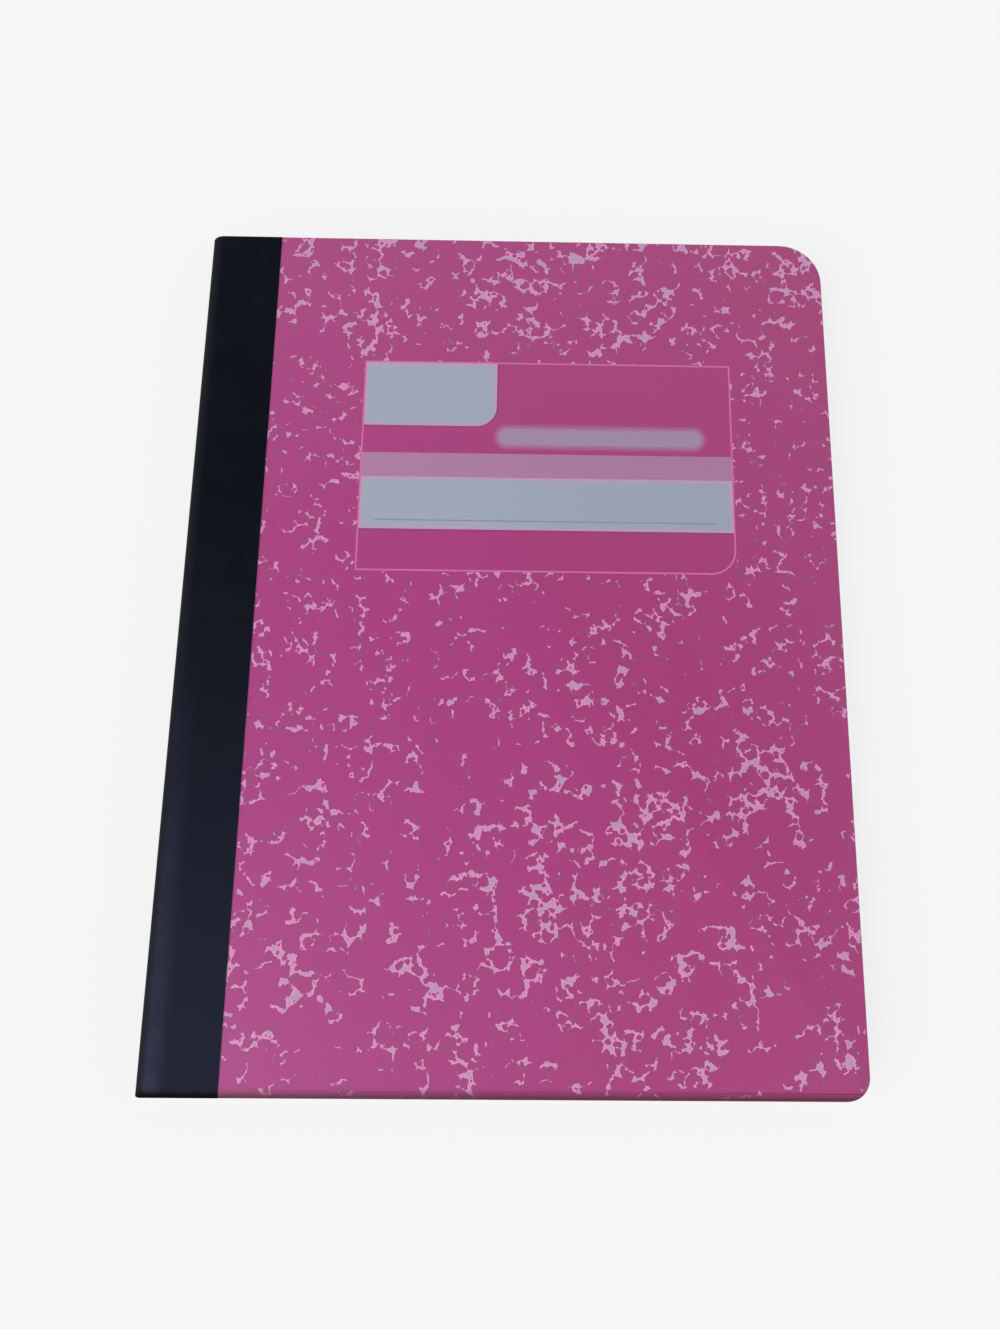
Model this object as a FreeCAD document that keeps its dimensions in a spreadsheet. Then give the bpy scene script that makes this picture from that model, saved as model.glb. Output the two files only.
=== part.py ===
import FreeCAD, Part
import os
import re
import Sketcher

# A sewn composition notebook, closed and lying on its back cover.
# Frame: spine towards -X, head towards +Y, front cover up. The origin is the middle of the
# footprint, on the surface that the notebook lies on. Lengths are in millimetres.

# Driving sizes: alias, value, what it sets
DRIVING_SIZES = [
    ("page_height", 247.65, "trimmed height, tail to head"),
    ("page_width", 190.5, "trimmed width, spine to fore-edge"),
    ("sheet_count", 100, "leaves in the closed notebook"),
    ("sheet_thickness", 0.085, "one leaf as pressed in the block"),
    ("card_thickness", 0.6, "cover card"),
    ("tape_thickness", 0.2, "spine tape"),
    ("tape_step", 0.05, "how far the tape stands proud of the card it is pressed into"),
    ("cover_clearance", 0.1, "air between the cover card and the pages"),
    ("spine_radius", 4.4, "rounding of the spine's two long edges"),
    ("tape_width", 22.2, "reach of the tape over each cover, from the spine's outermost line"),
    ("hinge_gap", 0.1, "width of the crease that each cover bends at"),
    ("head_corner", 12.7, "fore-edge corner at the head"),
    ("tail_corner", 6.35, "fore-edge corner at the tail"),
    ("roll_width", 2.3, "width of the front cover's rolled tail edge"),
    ("roll_drop", 0.7, "how far that edge is pressed down"),
    ("thread_diameter", 0.3, "sewing thread"),
    ("thread_clearance", 0.03, "room round the thread in its holes and groove"),
    ("fold_depth", 4.0, "from the outermost fold of the pages to the middle fold"),
    ("stitch_pitch", 8.0, "length of one stitch"),
    ("stitch_margin", 11.0, "least distance from the trim to the end of the sewing"),
    ("ink_thickness", 0.02, "printed fields on the front cover"),
    ("label_from_fore_edge", 29.65, "fore-edge to the label"),
    ("label_from_head", 41.5, "head to the label"),
    ("label_width", 110.7, "label, along the width"),
    ("label_height", 65.8, "label, along the height"),
    ("label_line", 0.5, "outline of the label"),
    ("label_corner", 7.5, "the label's one rounded corner"),
    ("panel_width", 40.1, "pale panel in the label's top corner"),
    ("panel_height", 20.8, "the same panel's height"),
    ("panel_corner", 6.2, "the same panel's rounded corner"),
    ("title_bar_width", 60.8, "plain bar beside the panel"),
    ("title_bar_height", 5.2, "the same bar's height"),
    ("title_bar_inset", 9.1, "right end of the bar to the label's side"),
    ("title_bar_lift", 2.8, "band to the bar"),
    ("band_from_top", 29.5, "top of the label to the tinted band"),
    ("band_height", 7.5, "the tinted band"),
    ("name_field_height", 16.1, "writing field below the band"),
    ("name_rule_width", 0.4, "rule in the writing field"),
    ("name_rule_lift", 2.5, "bottom of the writing field to its rule"),
    ("name_rule_left", 2.5, "left end of the rule to the label's side"),
    ("name_rule_right", 5.2, "right end of the rule to the label's side"),
    ("overshoot", 1.0, "how far a cutting form runs past what it cuts"),
]

# Sizes worked out from the driving ones: alias, formula
DERIVED_SIZES = [
    ("at_surface", "0"),
    ("block_thickness", "sheet_count * sheet_thickness"),
    ("under_tape", "tape_thickness"),
    ("under_card", "tape_step + card_thickness"),
    ("under_clearance", "under_card + cover_clearance"),
    ("thickness", "block_thickness + 2 * under_clearance"),
    ("half_width", "page_width / 2"),
    ("half_height", "page_height / 2"),
    ("nose_radius", "min(spine_radius; 0.49 * thickness)"),
    ("hinge_x", "nose_radius - half_width"),
    ("tape_edge_x", "tape_width - half_width"),
    ("roll_radius", "(roll_width^2 + roll_drop^2) / (2 * roll_drop)"),
    ("thread_radius", "thread_diameter / 2"),
    ("thread_hole_radius", "thread_radius + thread_clearance"),
    ("thread_groove_radius", "thread_radius + 2 * thread_clearance"),
    ("stitch_count", "floor((page_height - 2 * stitch_margin) / stitch_pitch) + 1"),
    ("seam_length", "(stitch_count - 1) * stitch_pitch"),
    ("outer_run_x", "tape_thickness + thread_radius - half_width"),
    ("fold_x", "under_clearance + fold_depth - half_width"),
    ("print_z", "thickness - tape_step"),
    ("label_right", "half_width - label_from_fore_edge"),
    ("label_left", "label_right - label_width"),
    ("label_top", "half_height - label_from_head"),
    ("label_bottom", "label_top - label_height"),
    ("band_top", "label_top - band_from_top"),
    ("band_bottom", "band_top - band_height"),
    ("name_field_bottom", "band_bottom - name_field_height"),
]

EXPORTED = [
    "page_block",
    "cover_spine",
    "front_cover",
    "back_cover",
    "spine_tape",
    "tape_front_flap",
    "tape_back_flap",
    "needle_thread",
    "bobbin_thread",
    "label_outline",
    "label_panel",
    "title_bar",
    "label_band",
    "name_field",
    "name_rule",
]

ALIASES = [entry[0] for entry in DRIVING_SIZES + DERIVED_SIZES]
ALONG_X = FreeCAD.Rotation(FreeCAD.Vector(0, 1, 0), 90)
ALONG_Y = FreeCAD.Rotation(FreeCAD.Vector(1, 0, 0), -90)

doc = FreeCAD.newDocument("composition_notebook")
sheet = doc.addObject("Spreadsheet::Sheet", "sizes")


def fill_sheet():
    """Write the driving sizes as plain numbers and the others as formulas."""
    row = 1
    for alias, value, note in DRIVING_SIZES:
        sheet.set("A%d" % row, alias)
        sheet.set("B%d" % row, str(value))
        sheet.set("C%d" % row, note)
        sheet.setAlias("B%d" % row, alias)
        row += 1
    doc.recompute()
    for alias, formula in DERIVED_SIZES:
        sheet.set("A%d" % row, alias)
        sheet.set("B%d" % row, "=" + formula)
        sheet.setAlias("B%d" % row, alias)
        doc.recompute()
        row += 1


def cell_of(word):
    """Point a word of a formula at its cell, if it names a size."""
    return "sizes." + word.group() if word.group() in ALIASES else word.group()


def bind(thing, prop, formula):
    """Tie a property to a formula on the named sizes."""
    thing.setExpression(prop, re.sub("[a-z_]+", cell_of, formula))


def new_body(name):
    body = doc.addObject("PartDesign::Body", name)
    body.Label = name
    return body


def origin_plane(body, role):
    for feature in body.Origin.OriginFeatures:
        if feature.Role == role:
            return feature
    raise ValueError("no plane " + role)


def bind_box(box, x_range, y_range, z_range):
    """Hold a box between two formulas along each axis."""
    for axis, size, (low, high) in zip("xyz", ("Length", "Width", "Height"), (x_range, y_range, z_range)):
        bind(box, "Placement.Base." + axis, low)
        bind(box, size, "(" + high + ") - (" + low + ")")


def add_block(body, name, x_range, y_range, z_range):
    """Add a box to a body, between two formulas along each axis."""
    box = body.newObject("PartDesign::AdditiveBox", name)
    bind_box(box, x_range, y_range, z_range)
    doc.recompute()
    return box


def round_edges(body, feature, name, radius, chosen):
    """Round the edges of a feature whose middle and direction pass a test."""
    edges = []
    for index, edge in enumerate(feature.Shape.Edges, start=1):
        middle = edge.CenterOfMass
        direction = (edge.Vertexes[-1].Point - edge.Vertexes[0].Point).normalize()
        if chosen(middle, direction):
            edges.append("Edge%d" % index)
    fillet = body.newObject("PartDesign::Fillet", name)
    fillet.Base = (feature, edges)
    bind(fillet, "Radius", radius)
    doc.recompute()
    return fillet


def add_roll_cut(body, offset):
    """Press the top down towards the tail along an arc, at a depth below the outer surface."""
    sketch = body.newObject("Sketcher::SketchObject", body.Name + "_roll_sketch")
    sketch.AttachmentSupport = [(origin_plane(body, "YZ_Plane"), "")]
    sketch.MapMode = "FlatFace"
    radius = sheet.roll_radius - sheet.get(offset)
    centre = FreeCAD.Vector(sheet.roll_width - sheet.half_height, sheet.thickness - sheet.roll_radius, 0)
    outer = FreeCAD.Vector(-sheet.half_height, centre.y + (radius ** 2 - sheet.roll_width ** 2) ** 0.5, 0)
    top = centre + FreeCAD.Vector(0, radius, 0)
    far = FreeCAD.Vector(outer.x - 2 * sheet.overshoot, outer.y, 0)
    far_top = FreeCAD.Vector(far.x, sheet.thickness + sheet.overshoot, 0)
    near_top = FreeCAD.Vector(centre.x, far_top.y, 0)
    middle = centre + ((top + outer) * 0.5 - centre).normalize() * radius
    sketch.addGeometry(Part.Arc(top, middle, outer), False)
    for start, end in ((outer, far), (far, far_top), (far_top, near_top), (near_top, top)):
        sketch.addGeometry(Part.LineSegment(start, end), False)
    for first, second in ((0, 1), (1, 2), (2, 3), (3, 4), (4, 0)):
        sketch.addConstraint(Sketcher.Constraint("Coincident", first, 2, second, 1))
    for line, kind in ((1, "Horizontal"), (2, "Vertical"), (3, "Horizontal"), (4, "Vertical")):
        sketch.addConstraint(Sketcher.Constraint(kind, line))
    held = [
        ("centre_y", "DistanceX", 0, 3, centre.x, "roll_width - half_height"),
        ("centre_z", "DistanceY", 0, 3, centre.y, "thickness - roll_radius"),
        ("start_y", "DistanceX", 0, 1, centre.x, "roll_width - half_height"),
        ("trim_y", "DistanceX", 0, 2, outer.x, "-half_height"),
        ("far_y", "DistanceX", 1, 2, far.x, "-half_height - 2 * overshoot"),
        ("above_z", "DistanceY", 2, 2, far_top.y, "thickness + overshoot"),
    ]
    for name, kind, geometry, point, value, formula in held:
        sketch.addConstraint(Sketcher.Constraint(kind, -1, 1, geometry, point, value))
        sketch.renameConstraint(sketch.ConstraintCount - 1, name)
        bind(sketch, "Constraints." + name, formula)
    sketch.addConstraint(Sketcher.Constraint("Radius", 0, radius))
    sketch.renameConstraint(sketch.ConstraintCount - 1, "radius")
    bind(sketch, "Constraints.radius", "roll_radius - " + offset)
    doc.recompute()
    before = body.Shape.Volume
    pocket = body.newObject("PartDesign::Pocket", body.Name + "_roll")
    pocket.Profile = sketch
    pocket.SideType = "Symmetric"
    bind(pocket, "Length", "page_width + 4 * overshoot")
    doc.recompute()
    if body.Shape.Volume >= before:
        raise ValueError("the roll of " + body.Name + " cuts nothing")


def lies_along_y_at_spine(middle, direction):
    return abs(direction.y) > 0.9 and middle.x < 0


def notebook_form(name, offset, trimmed):
    """The closed notebook's outer form, taken in by an offset; an untrimmed one runs past its edges."""
    body = new_body(name)
    past = "0" if trimmed else "overshoot"
    block = add_block(
        body,
        name + "_block",
        (offset + " - half_width", "half_width + " + past),
        ("-half_height - " + past, "half_height + " + past),
        (offset, "thickness - " + offset),
    )
    shape = round_edges(body, block, name + "_nose", "nose_radius - " + offset, lies_along_y_at_spine)
    if trimmed:
        for corner, side in (("head_corner", 1), ("tail_corner", -1)):
            shape = round_edges(
                body,
                shape,
                name + "_" + corner,
                corner,
                lambda middle, direction: abs(direction.z) > 0.9 and middle.x > 0 and middle.y * side > 0,
            )
    add_roll_cut(body, offset)
    return body


def zone(name, x_range, z_range):
    """A box that picks one part of a shell, over the whole height of the page."""
    box = doc.addObject("Part::Box", name)
    bind_box(box, x_range, ("-half_height - overshoot", "half_height + overshoot"), z_range)
    return box


def cut(name, base, tool):
    result = doc.addObject("Part::Cut", name)
    result.Label = name
    result.Base = base
    result.Tool = tool
    return result


def common(name, base, tool):
    result = doc.addObject("Part::Common", name)
    result.Label = name
    result.Base = base
    result.Tool = tool
    return result


def build_covers_and_tape():
    """Cut the tape and the card out of their shells, at the two creases and at the tape's edges."""
    outer = notebook_form("outer_form", "at_surface", True)
    card = notebook_form("card_form", "tape_step", True)
    below_tape = notebook_form("under_tape_form", "under_tape", False)
    below_card = notebook_form("under_card_form", "under_card", False)
    tape_shell = cut("tape_shell", outer, below_tape)
    card_shell = cut("card_shell", card, below_card)
    cover_side = "hinge_x + hinge_gap / 2"
    fore_edge = "half_width + overshoot"
    upper = ("thickness / 2", "thickness + overshoot")
    lower = ("-overshoot", "thickness / 2")
    spine_side = ("-half_width - overshoot", "hinge_x - hinge_gap / 2")
    spine_zone = zone("spine_zone", spine_side, ("-overshoot", "thickness + overshoot"))
    spine_tape = common("spine_tape", tape_shell, spine_zone)
    spine_card = common("spine_card", card_shell, spine_zone)
    spine_strip = cut("spine_strip", spine_card, spine_tape)
    for side, heights in (("front", upper), ("back", lower)):
        tape_zone = zone(side + "_tape_zone", (cover_side, "tape_edge_x"), heights)
        cover_zone = zone(side + "_cover_zone", (cover_side, fore_edge), heights)
        flap = common("tape_" + side + "_flap", tape_shell, tape_zone)
        board = common(side + "_board", card_shell, cover_zone)
        cut(side + "_cover", board, flap)
    return spine_strip


def add_rod(body, name, radius, length, start, turn):
    """Add a round rod from a start point of three formulas, along Y or along X."""
    rod = body.newObject("PartDesign::AdditiveCylinder", name)
    rod.Placement = FreeCAD.Placement(FreeCAD.Vector(0, 0, 0), turn)
    bind(rod, "Radius", radius)
    bind(rod, "Height", length)
    for axis, formula in zip("xyz", start):
        bind(rod, "Placement.Base." + axis, formula)
    doc.recompute()
    return rod


def add_legs(body, radius, reach):
    """Repeat one leg of the stitching from the outer run inwards, at the stitch pitch."""
    start = ("outer_run_x", "-seam_length / 2", "thickness / 2")
    leg = add_rod(body, body.Name + "_leg", radius, reach, start, ALONG_X)
    pattern = body.newObject("PartDesign::LinearPattern", body.Name + "_legs")
    pattern.Originals = [leg]
    pattern.Direction = (origin_plane(body, "Y_Axis"), [""])
    bind(pattern, "Length", "seam_length")
    bind(pattern, "Occurrences", "stitch_count")
    body.Tip = pattern
    doc.recompute()


def build_sewing():
    """The needle thread outside the fold, the bobbin thread in the middle fold, and their room."""
    run_start = ("outer_run_x", "-seam_length / 2", "thickness / 2")
    needle = new_body("needle_thread")
    add_rod(needle, "needle_run", "thread_radius", "seam_length", run_start, ALONG_Y)
    add_legs(needle, "thread_radius", "fold_x - outer_run_x - thread_hole_radius")
    bobbin = new_body("bobbin_thread")
    bobbin_start = ("fold_x", "-seam_length / 2", "thickness / 2")
    add_rod(bobbin, "bobbin_run", "thread_radius", "seam_length", bobbin_start, ALONG_Y)
    room = new_body("thread_room")
    groove_start = ("outer_run_x", "-seam_length / 2 - thread_groove_radius", "thickness / 2")
    groove_length = "seam_length + 2 * thread_groove_radius"
    add_rod(room, "outer_groove", "thread_groove_radius", groove_length, groove_start, ALONG_Y)
    add_legs(room, "thread_hole_radius", "fold_x - outer_run_x")
    through = ("fold_x", "-half_height - overshoot", "thickness / 2")
    tunnel = new_body("fold_room")
    add_rod(tunnel, "middle_fold", "thread_hole_radius", "page_height + 2 * overshoot", through, ALONG_Y)
    return room, tunnel


def build_pages_and_strip(spine_strip):
    """Cut the thread's room out of the pages and of the card folded round them."""
    room, tunnel = build_sewing()
    pages = notebook_form("pages_form", "under_clearance", True)
    pierced = cut("pierced_pages", pages, room)
    cut("page_block", pierced, tunnel)
    cut("cover_spine", spine_strip, room)


def printed_field(name, x_range, y_range, base="print_z", radius=None):
    """A thin field of ink; a radius rounds its corner at the bottom right."""
    body = new_body(name)
    block = add_block(body, name + "_ink", x_range, y_range, (base, base + " + ink_thickness"))
    if radius:
        middle_x = block.Shape.CenterOfMass.x
        middle_y = block.Shape.CenterOfMass.y
        round_edges(
            body,
            block,
            name + "_corner",
            radius,
            lambda middle, direction: direction.z and middle.x > middle_x and middle.y < middle_y,
        )
    return body


def build_label():
    """The label's fields of colour, printed on the front cover."""
    across = ("label_left", "label_right")
    inside = ("label_left + label_line", "label_right - label_line")
    frame = printed_field("label_sheet", across, ("label_bottom", "label_top"), radius="label_corner")
    window = printed_field(
        "label_window",
        inside,
        ("label_bottom + label_line", "label_top - label_line"),
        radius="label_corner - label_line",
    )
    cut("label_outline", frame, window)
    printed_field(
        "label_panel",
        ("label_left + label_line", "label_left + panel_width"),
        ("label_top - panel_height", "label_top - label_line"),
        radius="panel_corner",
    )
    bar = printed_field(
        "title_bar",
        ("label_right - title_bar_inset - title_bar_width", "label_right - title_bar_inset"),
        ("band_top + title_bar_lift", "band_top + title_bar_lift + title_bar_height"),
    )
    round_edges(
        bar,
        bar.Tip,
        "title_bar_ends",
        "0.49 * title_bar_height",
        lambda middle, direction: abs(direction.z) > 0.9,
    )
    printed_field("label_band", inside, ("band_bottom", "band_top"))
    printed_field("name_field", inside, ("name_field_bottom", "band_bottom"))
    printed_field(
        "name_rule",
        ("label_left + name_rule_left", "label_right - name_rule_right"),
        ("name_field_bottom + name_rule_lift", "name_field_bottom + name_rule_lift + name_rule_width"),
        base="print_z + ink_thickness",
    )


def check_document():
    """Stop if any object failed or any sub-part has no valid shape."""
    for thing in doc.Objects:
        if "Invalid" in thing.State or "Error" in thing.State:
            raise ValueError(thing.Name + " failed: " + str(thing.State))
    for label in EXPORTED:
        shape = doc.getObjectsByLabel(label)[0].Shape
        if shape.isNull() or not shape.isValid() or not shape.Solids:
            raise ValueError(label + " has no valid solid")


def export_parts():
    os.makedirs("parts", exist_ok=True)
    for label in EXPORTED:
        shape = doc.getObjectsByLabel(label)[0].Shape
        shape.exportStep(os.path.join("parts", label + ".step"))
        box = shape.BoundBox
        line = "%-16s solids %d, volume %.2f mm3, z %.3f to %.3f"
        print(line % (label, len(shape.Solids), shape.Volume, box.ZMin, box.ZMax))


fill_sheet()
build_pages_and_strip(build_covers_and_tape())
build_label()
doc.recompute()
check_document()
export_parts()
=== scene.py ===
# %% [markdown]
# # A marbled notebook
# The object is a sewn school notebook: a hundred leaves folded round one seam, two card covers
# with a marbled print, and a dark cloth tape over the spine. The imported model gives every piece
# its place and size, and this lesson gives every piece its surface. First the imported model is
# loaded.

# %% Load the frame
import math
import random

import bmesh
import bpy
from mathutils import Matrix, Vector


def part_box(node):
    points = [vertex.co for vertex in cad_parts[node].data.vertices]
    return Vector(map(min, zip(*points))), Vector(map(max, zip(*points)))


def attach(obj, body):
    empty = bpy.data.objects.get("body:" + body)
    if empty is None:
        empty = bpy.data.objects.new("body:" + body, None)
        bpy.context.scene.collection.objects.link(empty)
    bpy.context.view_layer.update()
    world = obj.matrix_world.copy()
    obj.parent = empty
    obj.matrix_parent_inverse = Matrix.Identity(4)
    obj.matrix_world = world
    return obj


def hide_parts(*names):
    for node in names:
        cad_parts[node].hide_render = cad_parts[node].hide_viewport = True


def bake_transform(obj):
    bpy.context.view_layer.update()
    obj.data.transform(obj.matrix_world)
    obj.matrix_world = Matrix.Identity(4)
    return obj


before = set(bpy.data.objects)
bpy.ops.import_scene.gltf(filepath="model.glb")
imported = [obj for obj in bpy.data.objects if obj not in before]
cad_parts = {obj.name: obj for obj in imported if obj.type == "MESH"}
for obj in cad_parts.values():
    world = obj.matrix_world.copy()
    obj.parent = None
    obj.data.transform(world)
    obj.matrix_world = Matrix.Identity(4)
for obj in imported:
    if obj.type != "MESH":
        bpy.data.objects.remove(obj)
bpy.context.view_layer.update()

MM = 0.001
random.seed(7)

# %% [markdown]
# The frame's boxes say where the covers, the tape and the pages lie. All other values are the
# few sizes that a box can't tell: the round corners of the covers and of the label's pale panel,
# and the tail edge of the front cover, which use has rolled down along an arc. Places that should
# be the same are compared with a small tolerance, since a mesh holds rounded numbers.

# %% Read the sizes from the frame
cover_low, cover_high = [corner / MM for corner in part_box("front_cover")]
back_low, back_high = [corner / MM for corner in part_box("back_cover")]
pages_low, pages_high = [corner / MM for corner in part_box("page_block")]
spine_low, spine_high = [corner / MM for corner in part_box("spine_tape")]
flap_low, flap_high = [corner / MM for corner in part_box("tape_back_flap")]
label_low, label_high = [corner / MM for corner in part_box("label_outline")]
bar_low, bar_high = [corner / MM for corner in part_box("title_bar")]
panel_low, panel_high = [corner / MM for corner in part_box("label_panel")]
name_low, name_high = [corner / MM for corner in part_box("name_field")]
rule_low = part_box("name_rule")[0] / MM
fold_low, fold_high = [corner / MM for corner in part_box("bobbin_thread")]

card_thickness = back_high.z - back_low.z
tape_thickness = flap_high.z - flap_low.z
tape_edge = flap_high.x
hinge_x = (spine_high.x + flap_low.x) / 2
middle_z = (spine_low.z + spine_high.z) / 2
nose_radius = hinge_x - spine_low.x
HEAD_CORNER = 12.7
TAIL_CORNER = 6.35
ROLL_WIDTH = 2.3
ROLL_DROP = 0.7
PANEL_CORNER = 6.2
NEAR = 0.01
EXACT = 0.001
roll_radius = (ROLL_WIDTH ** 2 + ROLL_DROP ** 2) / (2 * ROLL_DROP)
roll_start = cover_low.y + ROLL_WIDTH


def roll_drop_at(y):
    """How far the tail edge is pressed down at a place along the height, in mm."""
    depth = max(0.0, roll_start - y)
    return roll_radius - math.sqrt(roll_radius ** 2 - depth ** 2)


print("card %.2f mm, tape %.2f mm, crease at x %.2f" % (card_thickness, tape_thickness, hinge_x))

# %% [markdown]
# ## Camera
# The photograph looks down on the notebook from a little in front of its tail edge, so the covers
# narrow towards the head. The camera stands where the perspective of the cover's four corners
# puts it. A small shift of the lens frames the notebook as the picture does, without turning it.

# %% Camera
CAMERA_PLACE = (3.22, -57.05, 289.61)
CAMERA_TURN = (13.265, -0.9095, 0.542)
lens = bpy.data.cameras.new("picture_lens")
lens.sensor_width = 36.0
lens.lens = 27.09
lens.shift_x = -0.0263
lens.shift_y = -0.05
camera = bpy.data.objects.new("picture_camera", lens)
camera.location = [place * MM for place in CAMERA_PLACE]
camera.rotation_euler = [math.radians(angle) for angle in CAMERA_TURN]
bpy.context.collection.objects.link(camera)
bpy.context.scene.camera = camera
bpy.context.scene.view_settings.view_transform = "Standard"
print("camera at", [round(value, 4) for value in camera.location])

# %% [markdown]
# ## Shader arithmetic
# Every finish here is worked out by nodes from the place on the piece. Written node by node, such
# a sum is long and hard to read, so one small class holds a socket and lets Python's own signs
# add the nodes. Colours are given as they look on a screen and turned into light here.

# %% A socket that can be calculated with
class Wire:
    """One socket of a material, which Python's signs join to further nodes."""

    def __init__(self, tree, socket=None):
        self.tree = tree
        self.socket = socket

    def add(self, kind, settings, values, output=0):
        """Add a node: its settings first, then the values or wires of its sockets."""
        node = self.tree.nodes.new(kind)
        for name, value in settings.items():
            setattr(node, name, value)
        for name, value in values.items():
            if isinstance(value, Wire):
                self.tree.links.new(value.socket, node.inputs[name])
            else:
                node.inputs[name].default_value = value
        return Wire(self.tree, node.outputs[output] if node.outputs else None)

    def calculate(self, operation, first, second=0.0):
        return self.add("ShaderNodeMath", {"operation": operation}, {0: first, 1: second})

    def __add__(self, other):
        return self.calculate("ADD", self, other)

    def __radd__(self, other):
        return self.calculate("ADD", other, self)

    def __sub__(self, other):
        return self.calculate("SUBTRACT", self, other)

    def __rsub__(self, other):
        return self.calculate("SUBTRACT", other, self)

    def __mul__(self, other):
        return self.calculate("MULTIPLY", self, other)

    def __rmul__(self, other):
        return self.calculate("MULTIPLY", other, self)

    def size(self):
        return self.calculate("ABSOLUTE", self)

    def least(self, other):
        return self.calculate("MINIMUM", self, other)

    def most(self, other):
        return self.calculate("MAXIMUM", self, other)

    def rise(self, low, high):
        """0 below low, 1 above high, and a smooth step between them."""
        settings = {"interpolation_type": "SMOOTHSTEP"}
        values = {"Value": self, "From Min": low, "From Max": high}
        return self.add("ShaderNodeMapRange", settings, values)

    def blend(self, first, second):
        """The first colour where this is 0, the second where it is 1."""
        values = {0: self, 6: first, 7: second}
        return self.add("ShaderNodeMix", {"data_type": "RGBA"}, values, output=2)

    def vector(self, operation, first, second):
        return self.add("ShaderNodeVectorMath", {"operation": operation}, {0: first, 1: second})

    def part(self, axis):
        """One of the three numbers in a place or a colour."""
        return self.add("ShaderNodeSeparateXYZ", {}, {0: self}, output="XYZ".index(axis))

    def noise(self, scale, detail=2.0, output=0):
        values = {"Vector": self, "Scale": scale, "Detail": detail}
        return self.add("ShaderNodeTexNoise", {}, values, output)


def ink(red, green, blue):
    """A screen colour from 0 to 255, as light."""
    light = []
    for value in (red / 255, green / 255, blue / 255):
        light.append(value / 12.92 if value <= 0.04045 else ((value + 0.055) / 1.055) ** 2.4)
    return (*light, 1.0)


def place_mm(start):
    """The place on the piece in millimetres."""
    place = start.add("ShaderNodeTexCoord", {}, {}, output="Object")
    return start.vector("MULTIPLY", place, (1 / MM, 1 / MM, 1 / MM))


def bump(start, height, depth_mm):
    """A relief whose highest point stands this far above its lowest."""
    values = {"Height": height, "Distance": depth_mm * MM, "Strength": 1.0}
    return start.add("ShaderNodeBump", {}, values)


def finish(name, paint):
    """A material whose shader takes what the paint function works out."""
    material = bpy.data.materials.new(name)
    material.use_nodes = True
    tree = material.node_tree
    tree.nodes.clear()
    start = Wire(tree)
    shader = start.add("ShaderNodeBsdfPrincipled", {}, paint(start))
    start.add("ShaderNodeOutputMaterial", {}, {"Surface": shader})
    print(name, "has", len(tree.nodes), "nodes")
    return material


# %% [markdown]
# ## Marbled print
# The marbling is a mass of round drops of one colour that push a second colour into the gaps
# between them, so the pale flecks have hollow sides, thin arms and sharp points. Voronoi cells
# give one drop each: the distance to the cell's point less a radius of its own. The least of four
# sizes of drop leaves only the gaps, and a little noise bends them. A plain noise or a dot pattern
# would give round blots with none of the arms. Each size of drop is given by the width of its
# cell, its smallest and largest radius, and a shift that keeps the sizes from lining up.

# %% The marbled print's pattern
DROPS = [
    (4.31, 0.79, 5.32, 11.0),
    (3.69, 0.74, 1.41, 47.0),
    (2.09, 0.41, 0.9, 83.0),
    (0.91, -0.63, 0.31, 121.0),
]
BEND_PITCH = 2.2
BEND_REACH = 1.8
RAG_PITCH = 1.3
RAG_REACH = 0.7
DRIFT_PITCH = 22.0
DRIFT_REACH = 0.5
LIFT = 0.03


def drops(start, place, cell, small, large, shift):
    """How far outside the drops of one size a place lies, in mm."""
    moved = start.vector("ADD", place, (shift, 0.7 * shift, 0.0))
    settings = {"voronoi_dimensions": "2D", "feature": "F1"}
    cells = start.add("ShaderNodeTexVoronoi", settings, {"Vector": moved, "Scale": 1 / cell})
    lot = Wire(start.tree, cells.socket.node.outputs["Color"]).part("X")
    return cells * cell - (small + (large - small) * lot)


def marbling(start, place):
    """How deep inside a pale fleck a place lies, in mm; below 0 it lies in the ground colour."""
    bend = start.vector("SUBTRACT", place.noise(1 / BEND_PITCH, output="Color"), (0.5, 0.5, 0.5))
    bent = start.vector("ADD", place, start.vector("MULTIPLY", bend, (BEND_REACH, BEND_REACH, 0.0)))
    depth = None
    for cell, small, large, shift in DROPS:
        layer = drops(start, bent, cell, small, large, shift)
        depth = layer if depth is None else depth.least(layer)
    rag = (place.noise(1 / RAG_PITCH, detail=1.0) - 0.5) * RAG_REACH
    drift = (place.noise(1 / DRIFT_PITCH, detail=1.0) - 0.5) * DRIFT_REACH
    return depth + rag + drift + LIFT


print("the marbling has", len(DROPS), "sizes of drop")

# %% [markdown]
# The print also follows the label: its flecks stop at the frame, the bar has a soft glow, and the
# pale fields have a faint pink rim and a dark border. All of these go by the distance to a shape,
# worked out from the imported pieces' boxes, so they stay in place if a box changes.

# %% Distances to the label's shapes
FIELD_CORNER = 1.5
PALE_FIELDS = ((panel_low, panel_high, PANEL_CORNER), (name_low, name_high, FIELD_CORNER))
bar_radius = (bar_high.y - bar_low.y) / 2


def bar_reach(start, place):
    """How far a place lies from the middle line of the title bar, in mm."""
    middle = (bar_low + bar_high) / 2
    straight = (bar_high.x - bar_low.x - (bar_high.y - bar_low.y)) / 2
    past_end = ((place.part("X") - middle.x).size() - straight).most(0.0)
    beside = place.part("Y") - middle.y
    return start.calculate("SQRT", past_end * past_end + beside * beside)


def outside_field(start, place, low, high, corner):
    """Above 0 outside a pale field with one round corner, below 0 inside it, in mm."""
    past_fore = (place.part("X") - (high.x - corner)).most(0.0)
    past_tail = (low.y + corner - place.part("Y")).most(0.0)
    turn = start.calculate("SQRT", past_fore * past_fore + past_tail * past_tail) - corner
    return turn.most(low.x - place.part("X")).most(place.part("Y") - high.y)


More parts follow.
